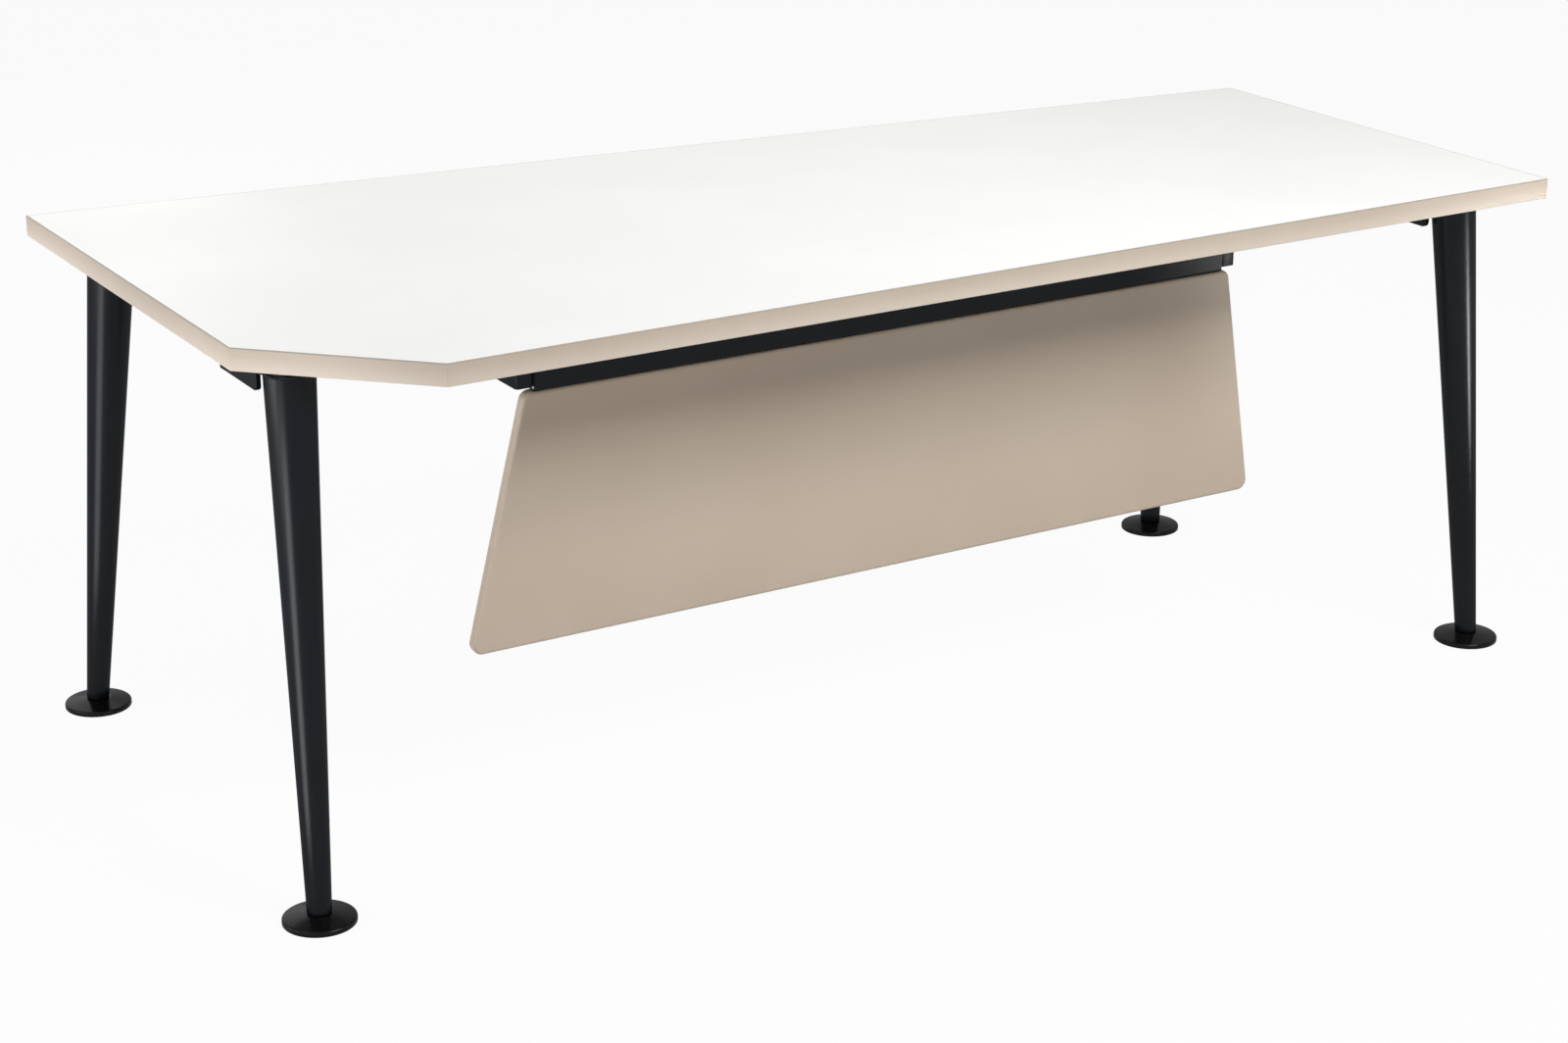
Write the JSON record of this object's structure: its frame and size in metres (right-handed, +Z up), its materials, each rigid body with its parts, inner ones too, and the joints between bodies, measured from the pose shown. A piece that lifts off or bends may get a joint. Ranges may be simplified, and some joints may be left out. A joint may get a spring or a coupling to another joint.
{
  "type": "executive desk",
  "caption": "Executive desk: white slab top with one corner cut off and a slanting user edge, black tapered splayed legs on screw-levelling discs, and a tilted trapezoid modesty panel.",
  "frame": {"origin": "on the floor, below the middle of the overall box", "axes": "+X along the visitor's straight edge, cut corner towards -X; +Y towards the sitting side; +Z up"},
  "size_m": [2.018, 0.9606, 0.74],
  "materials": {
    "top_laminate": "white high-pressure laminate, fine matt",
    "backing_laminate": "pale backing laminate, matt",
    "edge_band": "cream edging, satin",
    "board_core": "raw particle board",
    "panel_finish": "beige lacquer, matt",
    "black_coating": "black powder coat, satin",
    "foot_disc": "black, glossy",
    "foot_rubber": "black rubber, matt",
    "plain_steel": "zinc-plated steel"
  },
  "bodies": {
    "desk_frame": {"bracket_screws": "plain_steel", "edge_band_back": "edge_band", "edge_band_corner": "edge_band", "edge_band_front": "edge_band", "edge_band_left": "edge_band", "edge_band_right": "edge_band", "hanger_screws": "plain_steel", "leg_bracket_back_left": "black_coating", "leg_bracket_back_right": "black_coating", "leg_bracket_front_left": "black_coating", "leg_bracket_front_right": "black_coating", "leg_insert_back_left": "plain_steel", "leg_insert_back_right": "plain_steel", "leg_insert_front_left": "plain_steel", "leg_insert_front_right": "plain_steel", "leg_tube_back_left": "black_coating", "leg_tube_back_right": "black_coating", "leg_tube_front_left": "black_coating", "leg_tube_front_right": "black_coating", "panel_board": "panel_finish", "panel_rail": "black_coating", "panel_screws": "plain_steel", "rail_bolts": "plain_steel", "rail_hanger_left": "black_coating", "rail_hanger_right": "black_coating", "rail_plug_left": "plain_steel", "rail_plug_right": "plain_steel", "top_core": "board_core", "top_laminate": "top_laminate", "underside_laminate": "backing_laminate"},
    "foot_back_left": {"foot_pad_back_left": "foot_disc", "foot_sole_back_left": "foot_rubber"},
    "stud_back_left": {"foot_stud_back_left": "plain_steel"},
    "foot_front_left": {"foot_pad_front_left": "foot_disc", "foot_sole_front_left": "foot_rubber"},
    "stud_front_left": {"foot_stud_front_left": "plain_steel"},
    "foot_front_right": {"foot_pad_front_right": "foot_disc", "foot_sole_front_right": "foot_rubber"},
    "stud_front_right": {"foot_stud_front_right": "plain_steel"},
    "foot_back_right": {"foot_pad_back_right": "foot_disc", "foot_sole_back_right": "foot_rubber"},
    "stud_back_right": {"foot_stud_back_right": "plain_steel"}
  },
  "joints": [
    {"name": "foot_back_left_lift", "type": "slide", "parent": "desk_frame", "child": "foot_back_left", "axis": [0, 0, -1], "range_m": [0, 0.012]},
    {"name": "stud_back_left_turn", "type": "hinge", "parent": "foot_back_left", "child": "stud_back_left", "pos_m": [-0.96025, 0.42425, 0.02], "axis": [0, 0, -1], "range_deg": [0, 2880]},
    {"name": "foot_front_left_lift", "type": "slide", "parent": "desk_frame", "child": "foot_front_left", "axis": [0, 0, -1], "range_m": [0, 0.012]},
    {"name": "stud_front_left_turn", "type": "hinge", "parent": "foot_front_left", "child": "stud_front_left", "pos_m": [-0.96025, -0.39601, 0.02], "axis": [0, 0, -1], "range_deg": [0, 2880]},
    {"name": "foot_front_right_lift", "type": "slide", "parent": "desk_frame", "child": "foot_front_right", "axis": [0, 0, -1], "range_m": [0, 0.012]},
    {"name": "stud_front_right_turn", "type": "hinge", "parent": "foot_front_right", "child": "stud_front_right", "pos_m": [0.96075, -0.43175, 0.02], "axis": [0, 0, -1], "range_deg": [0, 2880]},
    {"name": "foot_back_right_lift", "type": "slide", "parent": "desk_frame", "child": "foot_back_right", "axis": [0, 0, -1], "range_m": [0, 0.012]},
    {"name": "stud_back_right_turn", "type": "hinge", "parent": "foot_back_right", "child": "stud_back_right", "pos_m": [0.84875, 0.22925, 0.02], "axis": [0, 0, -1], "range_deg": [0, 2880]}
  ],
  "couplings": [
    {"joint": "stud_back_left_turn", "follows": "foot_back_left_lift", "rad_per_m": 4188.8},
    {"joint": "stud_front_left_turn", "follows": "foot_front_left_lift", "rad_per_m": 4188.8},
    {"joint": "stud_front_right_turn", "follows": "foot_front_right_lift", "rad_per_m": 4188.8},
    {"joint": "stud_back_right_turn", "follows": "foot_back_right_lift", "rad_per_m": 4188.8}
  ]
}
